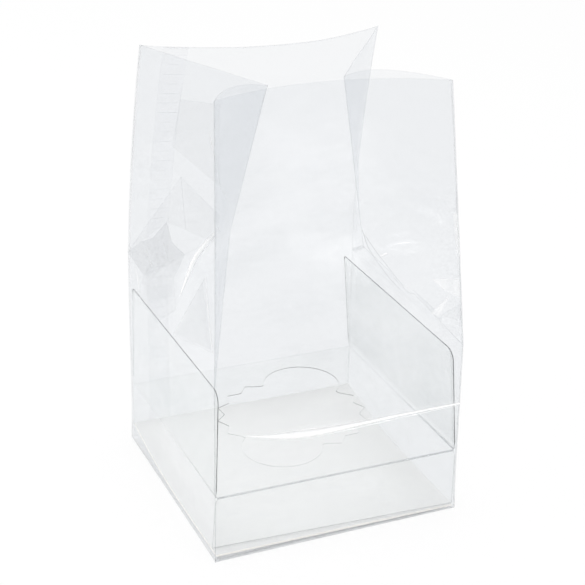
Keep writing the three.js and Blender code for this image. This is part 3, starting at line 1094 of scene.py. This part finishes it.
class CUPCAKE_OT_insert(bpy.types.Operator):
    """Fold the insert from its die-cut sheet"""

    bl_idname = "cupcake.insert"
    bl_label = "Cupcake insert"

    fold_steps = 5
    edge_steps = 24
    wall_steps = 14
    corner_steps = 7
    hole_steps = 40
    line_radius = 0.17 * MM
    line_strength = 0.85
    flare = 1.2 * MM
    # Within this height of the platform's level a place counts as the platform's own.
    flat_band = 1.5 * MM
    # How dark the cut edges show on the walls, the legs, the platform's sides and round the opening, and how
    # much each changes towards the rear.
    right_wall_edge, left_wall_edge, wall_paling = 1.0, 0.8, 0.75
    leg_edge, leg_paling = 0.55, 0.4
    side_edge, side_paling = 0.36, 0.28
    petal_edge, petal_gain = 0.25, 0.55
    # Painted shade, a grey put into the sheet's colour: the right wall, low down on it, the left wall and the
    # front leg.
    right_veil, low_veil, left_veil, leg_veil = 0.064, 0.016, 0.006, 0.005

    def execute(self, context):
        sizes = context.scene.cupcake_insert
        self.sizes = sizes
        self.mesh = bmesh.new()
        self.outlines = []
        self.half_x = INSERT_WIDTH / 2 - sizes.sheet / 2
        self.half_y = INSERT_DEPTH / 2 - sizes.sheet / 2
        self.level = sizes.platform - sizes.sheet / 2
        self.radius = sizes.fold_radius
        self.platform()
        self.wall(-1, sizes.left_lean)
        self.wall(1, sizes.right_lean)
        card = context.scene.cupcake_card
        clear = INSERT_LOW[2] + sizes.sheet + card.thickness
        self.leg(-1, clear + sizes.sheet / 2, sizes.leg_swing)
        self.leg(1, INSERT_LOW[2], 0.0)
        bmesh.ops.remove_doubles(self.mesh, verts=self.mesh.verts, dist=0.01 * MM)
        bmesh.ops.recalc_face_normals(self.mesh, faces=self.mesh.faces)
        mesh = bpy.data.meshes.new("insert_sheet")
        self.mesh.to_mesh(mesh)
        self.mesh.free()
        item = placed("insert_sheet", mesh)
        mark(mesh, "strength", [self.edge_strength(vert.co) for vert in mesh.vertices])
        # The sheet's painted shade, stored for its material.
        mark(mesh, "veil", [self.veil(vert.co) for vert in mesh.vertices])
        edge = sheet_edge_material(sizes)
        fold = crease_material("sheet_fold", (0.36, 0.39, 0.40))
        for material in (sheet_material(sizes), edge, fold, edge):
            mesh.materials.append(material)
        shell(item, sizes.sheet, 0)
        hand_over(item, "clear_sheet", "cupcake_insert")
        self.edge_lines()
        return {"FINISHED"}

    def edge_lines(self):
        """Fine dark lines along the walls' cut edges, where the sheet gathers the light."""
        paths, strengths = [], []
        for outline in self.outlines:
            paths.append(outline)
            for point in outline:
                strengths.append(self.line_strength * self.edge_strength(point) ** 1.5)
        material = crease_material("sheet_edge_line", (0.10, 0.11, 0.115))
        hand_over(threads("insert_edge_lines", paths, strengths, material, self.line_radius), "clear_sheet")

    def edge_strength(self, point):
        """How dark a cut edge or fold shows: the walls' tops most, the rear edges and near petals least."""
        towards_rear = smooth_step((point.y + 0.9 * self.half_y) / self.half_y)
        if point.z > self.level + self.flat_band:
            top = smooth_step((point.z - INSERT_HIGH[2] + 3 * MM) / (2 * MM))
            full = self.right_wall_edge if point.x > 0 else self.left_wall_edge
            return full * max(top, 1.0 - self.wall_paling * towards_rear)
        if point.z < self.level - self.flat_band:
            return self.leg_edge - self.leg_paling * towards_rear
        if max(abs(point.x) / self.half_x, abs(point.y) / self.half_y) > 0.9:
            return self.side_edge - self.side_paling * towards_rear
        return self.petal_edge + self.petal_gain * smooth_step((point.y + 12 * MM) / (20 * MM))

    def veil(self, point):
        """How much painted shade, a grey in the sheet's colour, a place gets: the right wall most, the front
        leg a little.
        """
        if point.z > self.level + self.flat_band:
            low_down = 1 - smooth_step((point.z - self.level - 8 * MM) / (16 * MM))
            return self.right_veil + self.low_veil * low_down if point.x > 0 else self.left_veil
        if point.z < self.level - self.flat_band and point.y < 0:
            return self.leg_veil
        return 0.0

    def edge_shares(self):
        return [i / self.edge_steps for i in range(self.edge_steps + 1)]

    def opening(self):
        """The outline of the opening, as a loop of points round its middle."""
        sizes = self.sizes
        points = []
        reach = (sizes.petal_tip ** 2 + sizes.finger_offset ** 2 - sizes.finger_hole ** 2)
        half = math.acos(reach / (2 * sizes.petal_tip * sizes.finger_offset))
        for side in (0, 1):
            turn = sizes.finger_turn + side * math.pi
            middle = polar(turn, sizes.finger_offset)
            start = polar(turn - half, sizes.petal_tip) - middle
            end = polar(turn + half, sizes.petal_tip) - middle
            low = math.atan2(start.y, start.x)
            high = math.atan2(end.y, end.x)
            while high < low:
                high += 2 * math.pi
            for i in range(self.hole_steps + 1):
                angle = low + (high - low) * i / self.hole_steps
                points.append(middle + polar(angle, sizes.finger_hole))
            centre = turn + math.pi / 2
            for i in range(2 * sizes.roots + 1):
                angle = centre + (i / 2 - sizes.roots / 2) * sizes.petal_pitch
                radius = sizes.petal_root if i % 2 else sizes.petal_tip
                points.append(polar(angle, radius))
        offset = Vector((sizes.opening_x, sizes.opening_y))
        return [point + offset for point in points]

    def platform(self):
        """The flat platform inside its four folds, filled round the opening."""
        x, y = self.half_x - self.radius, self.half_y - self.radius
        corners = ((-x, -y), (x, -y), (x, y), (-x, y))
        rim = []
        for (low_x, low_y), (high_x, high_y) in zip(corners, corners[1:] + corners[:1]):
            for share in self.edge_shares()[:-1]:
                rim.append((low_x + (high_x - low_x) * share, low_y + (high_y - low_y) * share))
        edges = []
        for loop in (rim, [tuple(point) for point in self.opening()]):
            verts = [self.mesh.verts.new((point[0], point[1], self.level)) for point in loop]
            edges += [self.mesh.edges.new((verts[i - 1], verts[i])) for i in range(len(verts))]
        filled = bmesh.ops.triangle_fill(self.mesh, use_beauty=True, use_dissolve=False, edges=edges)
        for face in filled["geom"]:
            if isinstance(face, bmesh.types.BMFace):
                face.material_index = 0

    def strip(self, rows, first_fold):
        """Faces between rows of points; the first rows are the fold."""
        made = [[self.mesh.verts.new(point) for point in row] for row in rows]
        for k in range(len(made) - 1):
            for i in range(len(made[k]) - 1):
                quad = (made[k][i], made[k][i + 1], made[k + 1][i + 1], made[k + 1][i])
                face = self.mesh.faces.new(quad)
                face.material_index = 2 if k < first_fold else 0
                face.smooth = True

    def fold_arc(self):
        """How far out, and how far up or down, each row of a fold lies from where it starts."""
        for k in range(self.fold_steps + 1):
            angle = math.pi / 2 * k / self.fold_steps
            yield self.radius * math.sin(angle), self.radius * (1 - math.cos(angle))

    def wall(self, side, lean):
        """A side wall: the fold, then the upright sheet with its rounded upper corners."""
        sizes = self.sizes
        top = INSERT_HIGH[2]
        low_y = self.half_y - self.radius
        full_y = INSERT_DEPTH / 2
        rows = []
        for out, rise in self.fold_arc():
            x, z = self.half_x - self.radius + out, self.level + rise
            rows.append([(side * x, -low_y + 2 * low_y * share, z) for share in self.edge_shares()])
        start = self.level + self.radius
        corner = sizes.wall_corner
        heights = [
            start + (top - corner - start) * k / self.wall_steps
            for k in range(1, self.wall_steps + 1)
        ]
        heights += [
            top - corner + corner * math.sin(math.pi / 2 * k / self.corner_steps)
            for k in range(1, self.corner_steps + 1)
        ]
        for z in heights:
            widen = smooth_step((z - start) / self.flare)
            front = low_y + (full_y - self.corner_cut(top - z, corner) - low_y) * widen
            back = low_y + (full_y - self.corner_cut(top - z, sizes.wall_heel) - low_y) * widen
            x = side * (self.half_x - lean * (z - start) / (top - start))
            rows.append([(x, -front + (front + back) * share, z) for share in self.edge_shares()])
        self.strip(rows, self.fold_steps)
        front = [row[0] for row in rows[self.fold_steps + 1:]]
        back = [row[-1] for row in reversed(rows[self.fold_steps + 1:])]
        self.outlines.append([Vector(point) for point in front + rows[-1][1:-1] + back])

    def corner_cut(self, below_top, radius):
        """How much a rounded corner takes off the wall's length at a height."""
        drop = max(0.0, radius - below_top)
        return radius - math.sqrt(max(0.0, radius ** 2 - drop ** 2))

    def leg(self, side, bottom, swing):
        """The front or rear leg: the fold, then the sheet down to its foot."""
        low_x = self.half_x - self.radius
        full_x = INSERT_WIDTH / 2
        rows = []
        for out, fall in self.fold_arc():
            y, z = self.half_y - self.radius + out, self.level - fall
            rows.append([(-low_x + 2 * low_x * share, side * y, z) for share in self.edge_shares()])
        start = self.level - self.radius
        for k in range(1, self.wall_steps + 1):
            down = k / self.wall_steps
            z = start + (bottom - start) * down
            half = low_x + (full_x - low_x) * smooth_step((start - z) / self.flare)
            row = []
            for share in self.edge_shares():
                inward = swing * down * (1 - share)
                row.append((-half + 2 * half * share, side * self.half_y + inward, z))
            rows.append(row)
        self.strip(rows, self.fold_steps)


class CUPCAKE_OT_card(bpy.types.Operator):
    """Build the card pad, bent up at its rear, with a fine bevel"""

    bl_idname = "cupcake.card"
    bl_label = "Card pad"

    columns = 20
    rows = 40
    ripple = 0.12 * MM
    ripple_pitch = 35
    edge_round = 0.12 * MM
    edge_angle = math.radians(50)

    def execute(self, context):
        sizes = context.scene.cupcake_card
        low_x, high_x = CARD_LOW[0], CARD_HIGH[0]
        low_y, high_y = CARD_LOW[1], CARD_HIGH[1]
        points, faces = [], []
        for j in range(self.rows + 1):
            y = low_y + (high_y - low_y) * j / self.rows
            share = max(0.0, (y - sizes.bend) / (high_y - sizes.bend))
            for i in range(self.columns + 1):
                x = low_x + (high_x - low_x) * i / self.columns
                ripple = self.ripple * noise.noise(Vector((x, y, 0)) * self.ripple_pitch) * share
                points.append((x, y, CARD_LOW[2] + sizes.thickness + sizes.lift * share ** 2 + ripple))
        count = self.columns + 1
        for j in range(self.rows):
            for i in range(self.columns):
                low = j * count + i
                faces.append((low, low + 1, low + 1 + count, low + count))
        card = mesh_object("card_pad", points, faces)
        card.data.materials.append(card_material(sizes))
        solid = card.modifiers.new("wall", "SOLIDIFY")
        solid.thickness = sizes.thickness
        solid.offset = -1
        bevel = card.modifiers.new("edge", "BEVEL")
        bevel.width = self.edge_round
        bevel.segments = 2
        bevel.limit_method = "ANGLE"
        bevel.angle_limit = self.edge_angle
        made_plain(card)
        self.mark_core(card)
        hand_over(card, "white_card", "base_card")
        return {"FINISHED"}

    def mark_core(self, card):
        """Marks the cut edges' faces, where the core shows."""
        values = [0.0 if abs(face.normal.z) > 0.8 else 1.0 for face in card.data.polygons]
        mark(card.data, "core", values, "FACE")


class CUPCAKE_OT_stage(bpy.types.Operator):
    """Set the camera, the white surroundings, the lamps and the floor"""

    bl_idname = "cupcake.stage"
    bl_label = "Stage"

    lamps = (
        ("front_softbox", (0.42, -0.95, 0.08), (0.60, 0.18), 1.3),
        ("front_strip", (0.50, -1.00, 0.52), (0.70, 0.04), 2.2),
        ("left_softbox", (-1.05, 0.15, 0.45), (0.50, 0.45), 3.0),
        ("rear_left_strip", (-0.60, 0.95, 0.32), (0.50, 0.10), 1.6),
        ("top_panel", (0.10, 0.20, 1.25), (0.75, 0.75), 4.5),
    )

    lamp_aim = (0, 0, 0.09)
    floor_half = 3.0
    floor_gap = 0.1 * MM

    def execute(self, context):
        stage = context.scene.cupcake_stage
        self.set_camera(context, stage)
        self.set_world(context, stage)
        for name, place, size, power in self.lamps:
            self.add_lamp(name, place, size, power)
        self.add_floor(stage)
        context.scene.view_settings.view_transform = "Standard"
        context.scene.cycles.transparent_max_bounces = 64
        return {"FINISHED"}

    def set_camera(self, context, stage):
        data = bpy.data.cameras.new("camera")
        data.sensor_width = 36
        data.lens = stage.lens
        item = placed("camera", data)
        turn, tilt, roll = stage.yaw, stage.pitch, stage.roll
        back = Vector((-math.sin(turn) * math.cos(tilt), -math.cos(turn) * math.cos(tilt), math.sin(tilt)))
        level = Vector((math.cos(turn), -math.sin(turn), 0))
        up = back.cross(level)
        right = level * math.cos(roll) + up * math.sin(roll)
        above = up * math.cos(roll) - level * math.sin(roll)
        matrix = Matrix((right, above, back)).transposed().to_4x4()
        matrix.translation = Vector(stage.camera)
        item.matrix_world = matrix
        context.scene.camera = item

    def set_world(self, context, stage):
        """White surroundings: plain white where they are seen, a little weaker where they give light."""
        world = bpy.data.worlds.new("surroundings")
        world.use_nodes = True
        tree = world.node_tree
        tree.nodes.clear()
        path = tree.nodes.new("ShaderNodeLightPath")
        sky = tree.nodes.new("ShaderNodeBackground")
        sky.inputs["Strength"].default_value = stage.sky
        seen = tree.nodes.new("ShaderNodeBackground")
        seen.inputs["Strength"].default_value = 1.0
        for node in (sky, seen):
            node.inputs["Color"].default_value = (1, 1, 1, 1)
        shown = path.outputs["Is Camera Ray"]
        for other in ("Is Glossy Ray", "Is Transmission Ray"):
            either = tree.nodes.new("ShaderNodeMath")
            either.operation = "MAXIMUM"
            tree.links.new(shown, either.inputs[0])
            tree.links.new(path.outputs[other], either.inputs[1])
            shown = either.outputs[0]
        mix = tree.nodes.new("ShaderNodeMixShader")
        output = tree.nodes.new("ShaderNodeOutputWorld")
        tree.links.new(shown, mix.inputs[0])
        tree.links.new(sky.outputs[0], mix.inputs[1])
        tree.links.new(seen.outputs[0], mix.inputs[2])
        tree.links.new(mix.outputs[0], output.inputs["Surface"])
        context.scene.world = world

    def add_lamp(self, name, place, size, power):
        data = bpy.data.lights.new(name, "AREA")
        data.shape = "RECTANGLE"
        data.size, data.size_y = size
        data.energy = power
        item = placed(name, data)
        item.visible_camera = False
        aim = Vector(self.lamp_aim) - Vector(place)
        item.location = place
        item.rotation_euler = aim.to_track_quat("-Z", "Y").to_euler()

    def add_floor(self, stage):
        """A wide pale floor that looks white and keeps a faint shadow."""
        half = self.floor_half
        low = FILM_LOW[2] - self.floor_gap
        corners = [(-half, -half, low), (half, -half, low), (half, half, low), (-half, half, low)]
        floor = mesh_object("floor", corners, [(0, 1, 2, 3)])
        graph = Graph("pale_floor")
        lit = graph.node("ShaderNodeBsdfDiffuse", None, rgba(stage.floor))
        bright = graph.node("ShaderNodeEmission", None, (1, 1, 1, 1), 1.0)
        path = graph.node("ShaderNodeLightPath")
        seen = graph.wire(path, "Is Camera Ray").maths("MAXIMUM", graph.wire(path, "Is Camera Ray"),
                                                       graph.wire(path, "Is Glossy Ray"))
        mix = graph.node("ShaderNodeMixShader", None, seen * 0.88)
        graph.feed(mix.inputs[1], graph.wire(lit))
        graph.feed(mix.inputs[2], graph.wire(bright))
        floor.data.materials.append(graph.finish(graph.wire(mix)))


class CUPCAKE_PT_panel(bpy.types.Panel):
    """The pieces of the cupcake bag"""

    bl_label = "Cupcake Bag"
    bl_idname = "CUPCAKE_PT_panel"
    bl_space_type = "VIEW_3D"
    bl_region_type = "UI"
    bl_category = "Cupcake Bag"

    def draw(self, context):
        for operator in OPERATORS:
            self.layout.operator(operator.bl_idname)


GROUPS = {
    "cupcake_film": FilmSizes,
    "cupcake_insert": InsertSizes,
    "cupcake_card": CardSizes,
    "cupcake_stage": StageSizes,
}
OPERATORS = (
    CUPCAKE_OT_stage,
    CUPCAKE_OT_film_bag,
    CUPCAKE_OT_lap_seam,
    CUPCAKE_OT_creases,
    CUPCAKE_OT_pleats,
    CUPCAKE_OT_insert,
    CUPCAKE_OT_card,
)


def register():
    for item in (*GROUPS.values(), *OPERATORS, CUPCAKE_PT_panel):
        bpy.utils.register_class(item)
    for name, group in GROUPS.items():
        setattr(bpy.types.Scene, name, PointerProperty(type=group))


def unregister():
    for name in GROUPS:
        delattr(bpy.types.Scene, name)
    for item in reversed((*GROUPS.values(), *OPERATORS, CUPCAKE_PT_panel)):
        bpy.utils.unregister_class(item)


def main():
    register()
    bpy.ops.cupcake.stage()
    bpy.ops.cupcake.film_bag()
    bpy.ops.cupcake.lap_seam()
    bpy.ops.cupcake.creases()
    bpy.ops.cupcake.pleats()
    bpy.ops.cupcake.insert()
    bpy.ops.cupcake.card()


if __name__ == "__main__":
    main()
